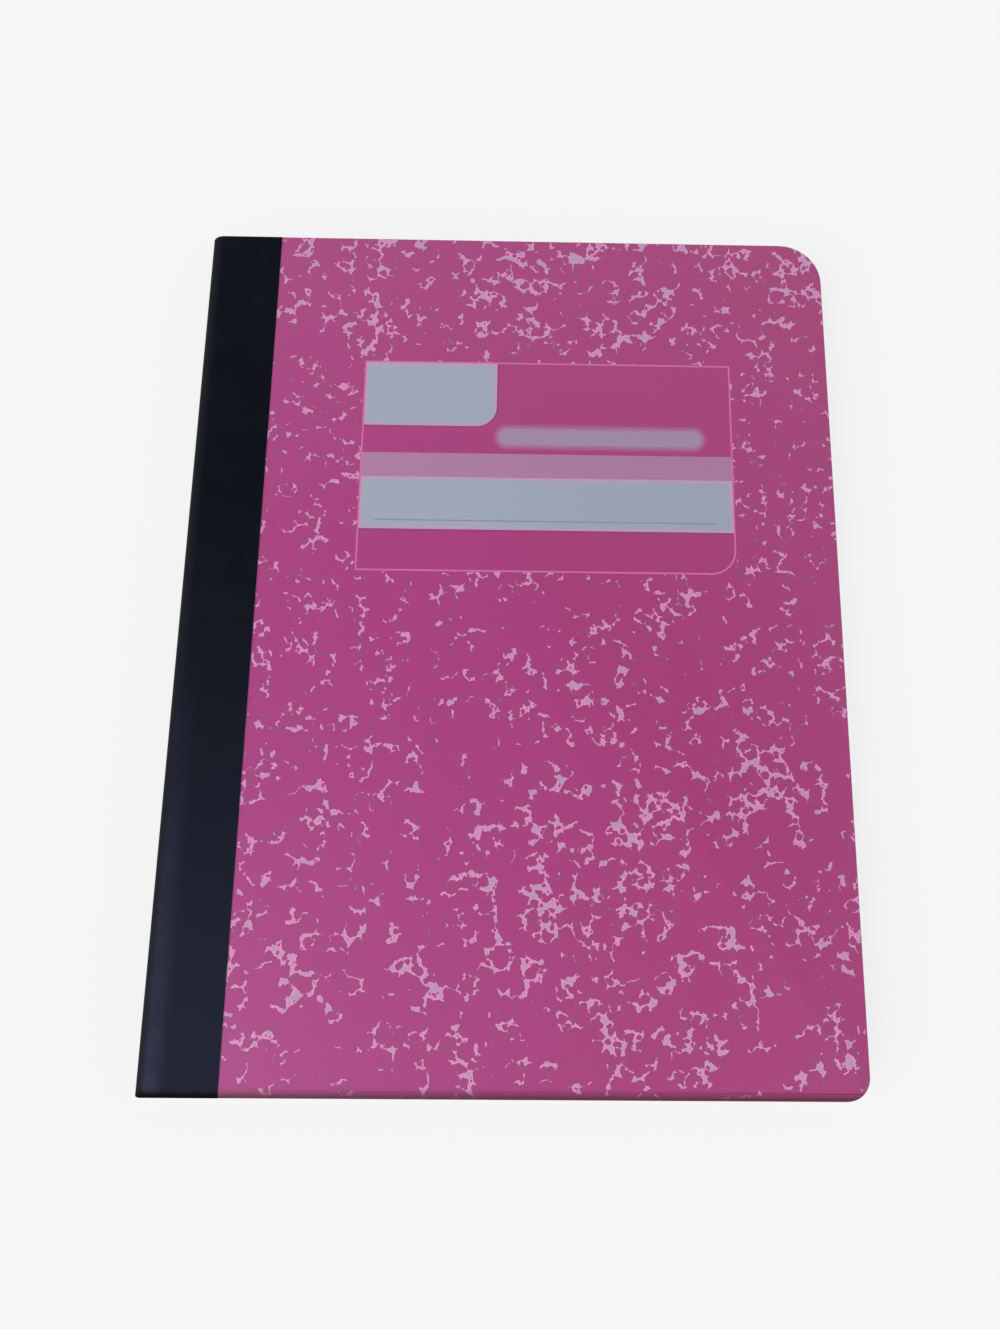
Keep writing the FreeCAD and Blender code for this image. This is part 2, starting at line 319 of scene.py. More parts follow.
def outside_label(place):
    """Above 0 outside the label's frame, below 0 inside it, in mm."""
    middle = (label_low + label_high) / 2
    half = (label_high - label_low) / 2
    side = (place.part("X") - middle.x).size() - half.x
    end = (place.part("Y") - middle.y).size() - half.y
    return side.most(end)


print("the bar's ends are round, %.1f mm in radius" % bar_radius)

# %% [markdown]
# The print lies under a thin clear varnish: the colours are satin, with a soft sheen and the faint
# unevenness of card below it. All printed pieces share this surface, so the label's fields look
# like part of the same sheet.

# %% The surface of the printed card
VARNISH = {"Coat Weight": 0.2, "Coat Roughness": 0.22, "Coat IOR": 1.45, "IOR": 1.45}


def card_surface(start, place, colour):
    """Satin varnish over slightly uneven card."""
    grain = place.noise(2.2, detail=3.0)
    swell = place.noise(0.06, detail=1.0)
    height = grain * 0.25 + swell
    return {
        "Base Color": colour,
        "Roughness": 0.42 + 0.12 * grain,
        "Normal": bump(start, height, 0.02),
        **VARNISH,
    }


print("varnish:", VARNISH)

# %% [markdown]
# A fleck is pink where it is thin and greyer where it is thick, and a faint dull halo lies round it.
# The front's print isn't even: it is sparser round and below the label and at the very tail, and
# crowded along the head edge. This is a small change of the fleck's depth by place, which makes
# flecks both smaller and fewer. Where the tail edge rolls down, the varnish is worn thin, and the
# colour is darkened as painted shade, since that edge turns away from the light.

# %% The marbled finish
# The next two colours paint light on the ground: lighter on the spine side, darker towards the fore
# edge.
FIELD_SPINE_LIT = ink(168, 57, 121)
FIELD_FORE_SHADED = ink(165, 54, 112)
FLECK_THIN = ink(240, 137, 190)
FLECK_THICK = ink(188, 143, 174)
FLECK_CORE = ink(170, 151, 173)
FLECK_HALO = ink(124, 80, 110)
FLECK_STEP = (0.0, 0.11)
THICK_STEP = (0.1, 0.42)
CORE_STEP = (0.45, 0.9)
HALO_STEP = (-0.9, -0.3)
HALO_SHARE = 0.3
SPARSE_TAILWARD = (label_low.y - 62.0, label_low.y - 48.0)
SPARSE_HEADWARD = (label_high.y + 3.0, label_high.y + 12.0)
NEAR_TAIL = (cover_low.y + 9.0, cover_low.y + 20.0)
NEAR_HEAD = (cover_high.y - 21.0, cover_high.y - 13.0)
SPARSE_BY = 0.16
END_BY = 0.12
GLOW_COLOUR = ink(164, 122, 152)
GLOW_STEP = (bar_radius - 0.3, bar_radius + 2.0)
GLOW_SHARE = 0.85
FIELD_BORDER = ink(134, 62, 104)
BORDER_STEP = (0.15, 0.8)
BORDER_SHARE = 0.75
# The next three values paint shade on the rolled tail edge, which turns away from the light.
ROLL_SHADE_COLOUR = ink(84, 2, 44)
ROLL_SHADE_STEP = (roll_start - 0.8 * ROLL_WIDTH, roll_start + 0.7)
ROLL_SHADE_SHARE = 0.95
# The next three values paint a thin line of shade on the card beside the tape's edge.
TAPE_EDGE_SHADE = ink(70, 26, 52)
TAPE_EDGE_SHADE_WIDTH = 0.5
TAPE_EDGE_SHADE_SHARE = 0.6


def crowding(place):
    """How much deeper the front's flecks are at a place than on average, in mm."""
    along = place.part("Y")
    sparse = along.rise(*SPARSE_TAILWARD)
    sparse = sparse * (1 - along.rise(*SPARSE_HEADWARD))
    near_tail = 1 - along.rise(*NEAR_TAIL)
    near_head = along.rise(*NEAR_HEAD)
    return END_BY * (near_head - near_tail) - SPARSE_BY * sparse


def paint_marbled(labelled, shift):
    """The marbled outside of a cover; the labelled one keeps its label clear of flecks."""

    def paint(start):
        place = place_mm(start)
        depth = marbling(start, start.vector("ADD", place, shift))
        if labelled:
            depth = (depth + crowding(place)).least(outside_label(place))
        pale = depth.rise(*THICK_STEP).blend(FLECK_THIN, FLECK_THICK)
        pale = depth.rise(*CORE_STEP).blend(pale, FLECK_CORE)
        # painted light: the ground darkens from the tape's edge to the fore edge
        lit_field = place.part("X").rise(tape_edge, cover_high.x).blend(FIELD_SPINE_LIT, FIELD_FORE_SHADED)
        ground = (depth.rise(*HALO_STEP) * HALO_SHARE).blend(lit_field, FLECK_HALO)
        colour = depth.rise(*FLECK_STEP).blend(ground, pale)
        if labelled:
            glow = 1 - bar_reach(start, place).rise(*GLOW_STEP)
            colour = (glow * GLOW_SHARE).blend(colour, GLOW_COLOUR)
            for low, high, corner in PALE_FIELDS:
                beside = 1 - outside_field(start, place, low, high, corner).rise(*BORDER_STEP)
                colour = (beside * BORDER_SHARE).blend(colour, FIELD_BORDER)
            # painted shade: the rolled tail edge is darkened, and its varnish is thinned
            roll_shade = 1 - place.part("Y").rise(*ROLL_SHADE_STEP)
            colour = (roll_shade * ROLL_SHADE_SHARE).blend(colour, ROLL_SHADE_COLOUR)
        # painted shade: a thin dark line beside the tape's edge
        tape_edge_shade = 1 - place.part("X").rise(tape_edge, tape_edge + TAPE_EDGE_SHADE_WIDTH)
        colour = (tape_edge_shade * TAPE_EDGE_SHADE_SHARE).blend(colour, TAPE_EDGE_SHADE)
        surface = card_surface(start, place, colour)
        if labelled:
            surface["Coat Weight"] = VARNISH["Coat Weight"] * (1 - roll_shade)
        return surface

    return paint


print("a fleck is at its greyest", CORE_STEP[1], "mm inside")

# %% [markdown]
# The label's fields are single flat colours with the faint cloudiness of ink on card, painted a
# little darker towards the fore edge as painted light that falls from the spine side. The pale
# fields take some of the ground's pink at their rim, and the writing line fades in at its spine
# end. One helper for the cloudiness and one for the painted fall of light serve them all.

# %% Finishes of the label
MOTTLE = 0.06
# The next two colours paint light on the pale fields: lighter on the spine side, darker on the fore
# side.
PALE_SPINE_LIT = ink(158, 164, 174)
PALE_FORE_SHADED = ink(151, 157, 167)
PALE_CLOUD = ink(140, 146, 156)
PALE_RIM = ink(190, 146, 174)
PALE_RIM_STEP = (-1.3, -0.2)
PALE_RIM_SHARE = 0.8
RULE_START = (rule_low.x + 1.0, rule_low.x + 4.0)
OUTLINE_CLOUD = 0.8
BAR_RIM = 0.9


def mottle(place):
    """The faint cloudiness of ink on card."""
    return place.noise(0.35, detail=3.0) * MOTTLE


def lit_across_label(place, spine, fore):
    """Painted light: a colour that darkens evenly from the label's spine side to its fore side."""
    return place.part("X").rise(label_low.x, label_high.x).blend(spine, fore)


def paint_pale(low, high, corner):
    """A pale field whose rim has taken a little of the ground's pink."""

    def paint(start):
        place = place_mm(start)
        rim = outside_field(start, place, low, high, corner).rise(*PALE_RIM_STEP)
        colour = mottle(place).blend(lit_across_label(place, PALE_SPINE_LIT, PALE_FORE_SHADED), PALE_CLOUD)
        colour = (rim * PALE_RIM_SHARE).blend(colour, PALE_RIM)
        return card_surface(start, place, colour)

    return paint


def paint_band(start):
    """The mauve band, painted a little darker towards the fore edge as painted light, like the
    ground round it.
    """
    place = place_mm(start)
    colour = lit_across_label(place, ink(171, 121, 155), ink(164, 117, 147))
    return card_surface(start, place, mottle(place).blend(colour, ink(150, 100, 136)))


def paint_rule(start):
    """The writing line, which fades in at its spine end."""
    place = place_mm(start)
    inked = place.part("X").rise(*RULE_START)
    return card_surface(start, place, inked.blend(PALE_SPINE_LIT, ink(136, 141, 153)))


def paint_outline(start):
    """The thin pink frame of the label."""
    place = place_mm(start)
    light = ink(203, 103, 155)
    dark = tuple(OUTLINE_CLOUD * value for value in light[:3]) + (1.0,)
    return card_surface(start, place, mottle(place).blend(light, dark))


def paint_bar(start):
    """The plain bar beside the panel: a pale core with a darker halo round it."""
    place = place_mm(start)
    edge = bar_reach(start, place).rise(bar_radius - BAR_RIM, bar_radius)
    colour = edge.blend(ink(156, 132, 154), ink(162, 124, 154))
    return card_surface(start, place, colour)


front_print = finish("front_print", paint_marbled(True, (0.0, 0.0, 0.0)))
back_print = finish("back_print", paint_marbled(False, (310.0, 170.0, 0.0)))
panel_print = finish("panel_print", paint_pale(*PALE_FIELDS[0]))
name_print = finish("name_print", paint_pale(*PALE_FIELDS[1]))
band_print = finish("band_print", paint_band)
bar_print = finish("bar_print", paint_bar)
outline_print = finish("outline_print", paint_outline)
rule_print = finish("rule_print", paint_rule)

# %% [markdown]
# ## Card, paper, tape and thread
# The cut edge of the card shows its grey pulp in thin layers, darkened as painted shade because
# the thin edge lies in shadow. Paper edges are streaked along the leaves. The tape is a coated
# cloth, almost black, with a fine weave that only shows where light grazes it. Each of these
# reads the place on the piece, so nothing slides when the piece moves.

# %% Finishes of card and paper
def paint_pulp(start):
    """The cut edge of grey card, in layers across its thickness, darkened as painted shade."""
    place = place_mm(start)
    layers = start.vector("MULTIPLY", place, (0.6, 0.6, 22.0)).noise(1.0, detail=3.0)
    fibres = place.noise(3.0, detail=3.0)
    mixed = (0.6 * layers + 0.4 * fibres).rise(0.3, 0.7)
    # painted shade: these greys are darkened to stand in for the shadow on the card's edge
    colour = mixed.blend(ink(98, 76, 88), ink(158, 142, 150))
    return {"Base Color": colour, "Roughness": 0.85, "Normal": bump(start, mixed, 0.05)}


def paint_lining(start):
    """The unprinted inside of a cover: pale card with a few darker fibres."""
    place = place_mm(start)
    cloud = place.noise(0.05, detail=2.0)
    fibres = start.vector("MULTIPLY", place, (0.7, 3.0, 1.0)).noise(1.1, detail=4.0)
    specks = fibres.rise(0.62, 0.78)
    colour = cloud.blend(ink(216, 212, 205), ink(228, 225, 219))
    colour = (specks * 0.25).blend(colour, ink(172, 165, 158))
    return {"Base Color": colour, "Roughness": 0.75, "Normal": bump(start, fibres, 0.02)}


RULE_PITCH = 8.73
FIRST_RULE = 30.0
MARGIN_AT = 31.8
RULE_WIDTH = 0.3
RULE_STEP = (RULE_WIDTH / 2, RULE_WIDTH / 2 + 0.08)
RULE_SHARE = 0.75


def paint_ruled(start):
    """A writing page: pale blue rules and a red margin line on cream paper."""
    place = place_mm(start)
    down = (pages_high.y - FIRST_RULE) - place.part("Y")
    values = {0: down, 1: RULE_PITCH, 2: 0.0}
    since_rule = start.add("ShaderNodeMath", {"operation": "WRAP"}, values)
    rule = 1 - (since_rule - RULE_PITCH / 2).size().rise(*RULE_STEP)
    rule = rule * down.rise(-RULE_PITCH / 2, 0.0)
    from_fold = (place.part("X") - (hinge_x + MARGIN_AT)).size()
    margin = 1 - from_fold.rise(*RULE_STEP)
    fibres = place.noise(1.6, detail=4.0)
    paper = fibres.blend(ink(238, 236, 228), ink(229, 226, 217))
    colour = (rule * RULE_SHARE).blend(paper, ink(140, 178, 214))
    colour = (margin * RULE_SHARE).blend(colour, ink(222, 130, 140))
    return {"Base Color": colour, "Roughness": 0.8, "Normal": bump(start, fibres, 0.015)}


def paint_leaf_edges(start):
    """The trimmed edges of the leaves, streaked along each leaf."""
    place = place_mm(start)
    streak = start.vector("MULTIPLY", place, (0.03, 0.03, 9.0)).noise(1.0, detail=4.0)
    wide = start.vector("MULTIPLY", place, (0.01, 0.01, 1.3)).noise(1.0, detail=2.0)
    tone = (0.6 * streak + 0.4 * wide).rise(0.3, 0.7)
    colour = tone.blend(ink(196, 189, 178), ink(236, 232, 224))
    return {"Base Color": colour, "Roughness": 0.85, "Normal": bump(start, streak, 0.03)}


pulp = finish("card_pulp", paint_pulp)
lining = finish("card_lining", paint_lining)
ruled_paper = finish("ruled_paper", paint_ruled)
leaf_edges = finish("leaf_edges", paint_leaf_edges)

# %% [markdown]
# The tape is worn glossy where hands and shelves touch it, and its colour carries the light that
# this reflects: a bluish painted sheen makes it paler towards the tail, and a painted highlight is
# strongest along the ridge where it turns round the spine. Painted shade keeps it black on the
# nose of the spine and where the tail edge presses it down. The thread is twisted white cotton.
# The tape and the pages hide nearly all of it, but it is part of the notebook, so it is finished
# like the rest.

# %% Finishes of tape and thread
WEAVE_PITCH = 0.42
TAPE_SHEEN = (0.66, 0.72, 1.0, 1.0)
# The next value spreads a painted sheen over the tape towards the tail.
TAIL_SHEEN_STEP = (cover_low.y - 20.0, 60.0)
RIDGE_AT = hinge_x + 0.4
# The next two values paint a highlight along the ridge where the tape turns round the spine.
RIDGE_HIGHLIGHT_STEP = (0.3, 4.2)
RIDGE_HIGHLIGHT_SHARE = 0.42
# The next two values paint shade on the nose of the spine.
NOSE_SHADE_STEP = (spine_low.x, hinge_x + 0.2)
NOSE_SHADE_SHARE = 0.85
# The next value paints shade where the tail edge presses the tape down.
PRESSED_SHADE_STEP = (roll_start - 0.8 * ROLL_WIDTH, roll_start + 0.4)


def paint_tape(start):
    """Coated cloth tape: a fine weave under a dark, slightly worn coating, with painted sheen,
    painted highlight and painted shade.
    """
    place = place_mm(start)
    turn = 2 * math.pi / WEAVE_PITCH
    warp = start.calculate("SINE", place.part("Y") * turn)
    weft = start.calculate("SINE", (place.part("X") + place.part("Z")) * turn)
    coarse = place.noise(0.12, detail=3.0)
    fine = place.noise(5.0, detail=3.0)
    weave = 0.5 + 0.25 * (warp + weft)
    height = 0.4 * weave + 0.6 * fine
    worn = (0.5 * coarse + 0.5 * fine).rise(0.35, 0.7)
    tail_sheen = 1 - place.part("Y").rise(*TAIL_SHEEN_STEP)
    from_ridge = (place.part("X") - RIDGE_AT).size()
    nose_shade = 1 - place.part("X").rise(*NOSE_SHADE_STEP)
    grain = place.noise(1.8, detail=2.0).rise(0.35, 0.7)
    highlight_patches = 0.3 * coarse.rise(0.4, 0.66) + 0.7 * grain
    ridge_highlight = tail_sheen * tail_sheen * (1 - from_ridge.rise(*RIDGE_HIGHLIGHT_STEP)) * (0.28 + 0.65 * highlight_patches)
    colour = worn.blend(ink(4, 6, 10), ink(9, 12, 19))
    # painted sheen: the tape is lightened with a bluish colour towards the tail
    colour = (tail_sheen * (0.45 + 0.35 * fine)).blend(colour, ink(33, 36, 50))
    # painted highlight along the ridge of the spine
    colour = (ridge_highlight * RIDGE_HIGHLIGHT_SHARE).blend(colour, ink(74, 78, 100))
    # painted shade on the nose of the spine
    colour = (nose_shade * NOSE_SHADE_SHARE).blend(colour, ink(7, 8, 12))
    # painted shade where the tail edge presses the tape down
    pressed_shade = 1 - place.part("Y").rise(*PRESSED_SHADE_STEP)
    colour = pressed_shade.blend(colour, ink(2, 2, 5))
    return {
        "Base Color": colour,
        "Roughness": 0.42 + 0.12 * fine + 0.4 * pressed_shade.most(nose_shade * 0.6),
        "Normal": bump(start, height, 0.02),
        "IOR": 1.45,
        "Specular IOR Level": 0.12,
        "Specular Tint": TAPE_SHEEN,
    }


def paint_thread(start):
    """White cotton, twisted: the strands run askew round the thread."""
    place = place_mm(start)
    askew = place.part("Y") * 9.0 + place.part("Z") * 14.0 + place.part("X") * 14.0
    strand = 0.5 + 0.5 * start.calculate("SINE", askew)
    colour = strand.blend(ink(188, 184, 176), ink(236, 233, 226))
    return {"Base Color": colour, "Roughness": 0.8, "Normal": bump(start, strand, 0.04)}


tape_cloth = finish("tape_cloth", paint_tape)
cotton = finish("cotton_thread", paint_thread)

# %% [markdown]
# ## Modelling by hand, in code
# The pieces are shaped with the same operators as in the window. Each step needs a clean start,
# with nothing selected, and then a selection by place. These helpers do that in millimetres.

# %% Helpers for modelling
def put_down():
    """Leave edit mode and select nothing."""
    if bpy.context.object and bpy.context.object.mode != "OBJECT":
        bpy.ops.object.mode_set(mode="OBJECT")
    bpy.ops.object.select_all(action="DESELECT")


def centre_of(part):
    """The middle of a vertex, an edge or a face, in mm."""
    if isinstance(part, bmesh.types.BMVert):
        return part.co / MM
    corners = [corner.co for corner in part.verts]
    return sum(corners, Vector()) / len(corners) / MM


def pick(kind, test):
    """In edit mode, select only what passes a test on it and its middle; say how many did."""
    bpy.ops.mesh.select_mode(type=kind)
    bpy.ops.mesh.select_all(action="DESELECT")
    mesh = bmesh.from_edit_mesh(bpy.context.edit_object.data)
    chosen = 0
    for part in {"VERT": mesh.verts, "EDGE": mesh.edges, "FACE": mesh.faces}[kind]:
        if test(part, centre_of(part)):
            part.select_set(True)
            chosen += 1
    mesh.select_flush_mode()
    bmesh.update_edit_mesh(bpy.context.edit_object.data)
    return chosen


def start_piece(name, shape, low, high):
    """Add a cube or a plane between two corners in mm, and open it for editing."""
    put_down()
    middle = (Vector(low) + Vector(high)) / 2 * MM
    size = (Vector(high) - Vector(low)) * MM
    if shape == "cube":
        bpy.ops.mesh.primitive_cube_add(size=1, location=middle)
    else:
        bpy.ops.mesh.primitive_plane_add(size=1, location=middle)
    bpy.ops.transform.resize(value=(size.x, size.y, size.z if shape == "cube" else 1))
    bpy.ops.object.transform_apply(location=True, rotation=True, scale=True)
    piece = bpy.context.object
    piece.name = name
    piece.data.name = name
    bpy.ops.object.mode_set(mode="EDIT")
    return piece


def bisect(axis, value):
    """Cut the whole piece along a plane across one axis, in mm."""
    bpy.ops.mesh.select_all(action="SELECT")
    normal = [float(letter == axis) for letter in "xyz"]
    spot = [value * MM * number for number in normal]
    bpy.ops.mesh.bisect(plane_co=spot, plane_no=normal)


def apply_modifier(piece, kind, **settings):
    """Add a modifier with its settings and apply it."""
    modifier = piece.modifiers.new(kind.lower(), kind)
    for name, value in settings.items():
        setattr(modifier, name, value)
    bpy.context.view_layer.objects.active = piece
    bpy.ops.object.modifier_apply(modifier=modifier.name)


def close_piece(piece, materials, choose):
    """Leave edit mode, give every face its material, and smooth the gentle edges."""
    put_down()
    piece.data.materials.clear()
    for material in materials:
        piece.data.materials.append(material)
    for face in piece.data.polygons:
        face.material_index = choose(face)
    piece.select_set(True)
    bpy.context.view_layer.objects.active = piece
    bpy.ops.object.shade_smooth_by_angle(angle=math.radians(38))
    put_down()
    print(piece.name, "has", len(piece.data.polygons), "faces")


ROLL_ROWS = 8


def cut_roll_rows():
    """Cut rows across the tail edge, so that it can be bent along the arc."""
    for row in range(ROLL_ROWS):
        bisect("y", roll_start - ROLL_WIDTH * row / ROLL_ROWS)


def rows_in_roll():
    """Each height along the roll at which the piece has vertices, in mm."""
    mesh = bmesh.from_edit_mesh(bpy.context.edit_object.data)
    heights = {round(corner.co.y / MM, 4) for corner in mesh.verts}
    return sorted(height for height in heights if height < roll_start - EXACT)


# %% [markdown]
# ## The covers
# Each cover is one sheet of card, so it starts as a flat box. The upright edges at the fore-edge
# are bevelled into the two round corners, larger at the head. A recess of the tape's depth is
# pressed in along the spine, because the tape lies in the card and not just on it. The front
# cover's tail edge is cut into rows and each row is lowered along the arc, which keeps the bend
# smooth. Last, a small bevel breaks the trimmed edges, where the grey pulp shows as a fine rim.

# %% Make the two covers
RECESS = 0.15
RECESS_SLOPE = 0.02
RIM = 0.14
RIM_ANGLE = math.radians(50)
COVER_CORNER_STEPS = 18
PRINT_FACING = 0.97
ROLL_FACING = 0.3
LINING_FACING = -0.8


def make_cover(name, bottom, outward):
    """A cover whose card starts at a height; outward is 1 for the front and -1 for the back."""
    low = (cover_low.x, cover_low.y, bottom)
    high = (cover_high.x, cover_high.y, bottom + card_thickness)
    piece = start_piece(name, "cube", low, high)
    for radius, side in ((HEAD_CORNER, 1), (TAIL_CORNER, -1)):

        def upright_corner(edge, middle):
            height = abs(edge.verts[0].co.z - edge.verts[1].co.z)
            return height > card_thickness * MM / 2 and middle.x > 0 and middle.y * side > 0

        pick("EDGE", upright_corner)
        bpy.ops.mesh.bevel(offset=radius * MM, segments=COVER_CORNER_STEPS, affect="EDGES")
    for place in (tape_edge, tape_edge - RECESS_SLOPE):
        bisect("x", place)
    outer = bottom + (card_thickness if outward > 0 else 0.0)
    pick("VERT", lambda vertex, spot: spot.x < tape_edge - NEAR and abs(spot.z - outer) < NEAR)
    bpy.ops.transform.translate(value=(0, 0, -outward * RECESS * MM))
    if outward > 0:
        cut_roll_rows()
        for height in rows_in_roll():
            pick("VERT", lambda vertex, spot: abs(spot.y - height) < EXACT)
            bpy.ops.transform.translate(value=(0, 0, -roll_drop_at(height) * MM))
    bpy.ops.object.mode_set(mode="OBJECT")
    limits = {"limit_method": "ANGLE", "angle_limit": RIM_ANGLE}
    apply_modifier(piece, "BEVEL", width=RIM * MM, segments=2, **limits)
    return piece


def cover_face(outward):
    """Printed outside, pulp on the trimmed edges and their rim, lining inside."""

    def choose(face):
        facing = face.normal.z * outward
        steep = ROLL_FACING if face.center.y < roll_start * MM else PRINT_FACING
        if facing > steep:
            return 0
        return 2 if facing < LINING_FACING else 1

    return choose


front_board = make_cover("front_board", cover_high.z - card_thickness, 1)
close_piece(front_board, [front_print, pulp, lining], cover_face(1))
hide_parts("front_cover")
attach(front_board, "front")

back_board = make_cover("back_board", back_low.z, -1)
close_piece(back_board, [back_print, pulp, lining], cover_face(-1))
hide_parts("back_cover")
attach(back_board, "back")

# %% [markdown]
# ## The spine tape
# The tape is one strip of cloth glued round the spine and over both covers. Each cover bends it at
# its own crease, and a bend can be worked out across one joint at a time, so the strip is made as
# two halves that meet in the middle of the spine, where nothing moves. A half starts as the flat
# flap, its spine side is spun round the edge and then extruded down to the middle. Along that
# middle the sewing below lifts the cloth a little at every stitch.

# %% Make the two halves of the tape
TAPE_ROWS = 168
STITCHES = 28
SEAM_LENGTH = 224.0
STITCH_RIDGE = 0.09
STITCH_SHARE = 0.36
ROUND_STEPS = 14
SIDE_ROWS = 3
FLAP_CUTS = (hinge_x + 1.0, hinge_x + 2.5, tape_edge - 0.6)
stitch_pitch = SEAM_LENGTH / STITCHES


def on_stitch(vertex, spot):
    """Whether a vertex lies in the middle of the spine and on one of the stitches."""
    from_end = spot.y + SEAM_LENGTH / 2
    in_seam = abs(spot.z - middle_z) < NEAR and abs(spot.y) < SEAM_LENGTH / 2
    return in_seam and abs(from_end % stitch_pitch - stitch_pitch / 2) < stitch_pitch * STITCH_SHARE


def make_tape(name, outward):
    """Half of the tape; outward is 1 for the front half and -1 for the back half."""
    surface = spine_high.z if outward > 0 else spine_low.z
    low = (hinge_x, cover_low.y, surface)
    high = (tape_edge, cover_high.y, surface)
    piece = start_piece(name, "plane", low, high)
    pick("EDGE", lambda edge, middle: abs(edge.verts[0].co.x - edge.verts[1].co.x) < NEAR * MM)
    bpy.ops.mesh.subdivide(number_cuts=TAPE_ROWS - 1)
    for place in FLAP_CUTS:
        bisect("x", place)
    pick("EDGE", lambda edge, middle: abs(middle.x - hinge_x) < EXACT)
    quarter = {"angle": math.radians(90), "axis": (0, outward, 0)}
    centre = (hinge_x * MM, 0, (surface - outward * nose_radius) * MM)
    bpy.ops.mesh.spin(steps=ROUND_STEPS, center=centre, **quarter)
    step = (abs(surface - middle_z) - nose_radius) / SIDE_ROWS
    for row in range(SIDE_ROWS):
        move = {"value": (0, 0, -outward * step * MM)}
        bpy.ops.mesh.extrude_region_move(TRANSFORM_OT_translate=move)
    print("vertices on stitches:", pick("VERT", on_stitch))
    bpy.ops.transform.translate(value=(-STITCH_RIDGE * MM, 0, 0))
    if outward > 0:
        cut_roll_rows()
        for height in rows_in_roll():
            limit = surface - roll_drop_at(height)
            pick("VERT", lambda vertex, spot: abs(spot.y - height) < EXACT and spot.z > limit)
            bpy.ops.transform.resize(value=(1, 1, 0), center_override=(0, 0, limit * MM))
    bpy.ops.mesh.select_all(action="SELECT")
    bpy.ops.mesh.remove_doubles(threshold=EXACT * MM)
    bpy.ops.mesh.normals_make_consistent(inside=False)
    bpy.ops.object.mode_set(mode="OBJECT")
    faces = piece.data.polygons
    outer = [face for face in faces if abs(face.center.z - surface * MM) < NEAR * MM]
    side = 1 if outer[0].normal.z * outward > 0 else -1
    apply_modifier(piece, "SOLIDIFY", thickness=tape_thickness * MM, offset=-side)
    return piece


front_tape = make_tape("tape_front_half", 1)
close_piece(front_tape, [tape_cloth], lambda face: 0)
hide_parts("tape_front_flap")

back_tape = make_tape("tape_back_half", -1)
close_piece(back_tape, [tape_cloth], lambda face: 0)
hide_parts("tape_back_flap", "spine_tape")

FLAPS = ((front_tape, spine_high.z, "front"), (back_tape, spine_low.z, "back"))
for piece, surface, cover in FLAPS:
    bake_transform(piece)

# %% [markdown]
# ## The pages
# Fifty sheets are folded once, one inside the other, and trimmed together to make a hundred
# leaves. Only their edges and the outermost pages show, but a plain block would show neither
# the leaves nor the folds, which lie round each other at the head and the tail like the rings
# of a tree. So every sheet is made: a flat upper leaf with round corners, spun round its fold and
# carried on as the lower leaf. The trim of each leaf differs by a few hundredths of a millimetre.

# %% Make the folded sheets
SHEETS = 50
TRIM = 0.09
CORNER_STEPS = 7
FOLD_STEPS = 5
PRESS_ROWS = 4
ROW_TOLERANCE = 0.0007
ROUND_FOLD = 0.45
LARGEST_FOLD = 0.49
WAVE = 0.05
WAVE_STEP = 0.7
PAPER_SHARE = 0.9
leaf_pitch = (pages_high.z - pages_low.z) / (2 * SHEETS)
fold_pitch = ((fold_low.x + fold_high.x) / 2 - pages_low.x) / SHEETS
page_nose = nose_radius - pages_low.z


def round_leaf_corners(height):
    """Round the two fore-edge corners of the leaf that lies at a height."""
    for radius, side in ((HEAD_CORNER, 1), (TAIL_CORNER, -1)):

        def fore_corner(vertex, spot):
            return spot.x > 0 and spot.y * side > 0 and abs(spot.z - height) < NEAR

        pick("VERT", fore_corner)
        bpy.ops.mesh.bevel(offset=radius * MM, segments=CORNER_STEPS, affect="VERTICES")


def make_sheet(number, drift):
    """One folded sheet, counted from the outermost."""
    inset = (number + 0.5) * leaf_pitch
    top = pages_high.z - inset
    bottom = pages_low.z + inset
    fold = pages_low.x + (number + 0.5) * fold_pitch
    radius = max(page_nose - inset, ROUND_FOLD * (top - bottom))
    radius = min(radius, LARGEST_FOLD * (top - bottom))
    trims = [drift + random.uniform(0.0, TRIM) for edge in range(4)]
    low = (fold + radius, pages_low.y + trims[0], top)
    high = (pages_high.x - trims[1], pages_high.y - trims[2], top)
    piece = start_piece("sheet", "plane", low, high)
    round_leaf_corners(top)
    pick("EDGE", lambda edge, middle: abs(middle.x - low[0]) < EXACT)
    quarter = {"angle": math.radians(90), "axis": (0, 1, 0)}
    centre = (low[0] * MM, 0, (top - radius) * MM)
    bpy.ops.mesh.spin(steps=FOLD_STEPS, center=centre, **quarter)
    drop = (top - bottom - 2 * radius) * MM
    bpy.ops.mesh.extrude_region_move(TRANSFORM_OT_translate={"value": (0, 0, -drop)})
    centre = (low[0] * MM, 0, (bottom + radius) * MM)
    bpy.ops.mesh.spin(steps=FOLD_STEPS, center=centre, **quarter)
    reach = (high[0] - low[0] - trims[3]) * MM
    bpy.ops.mesh.extrude_region_move(TRANSFORM_OT_translate={"value": (reach, 0, 0)})
    round_leaf_corners(bottom)
    put_down()
    return piece


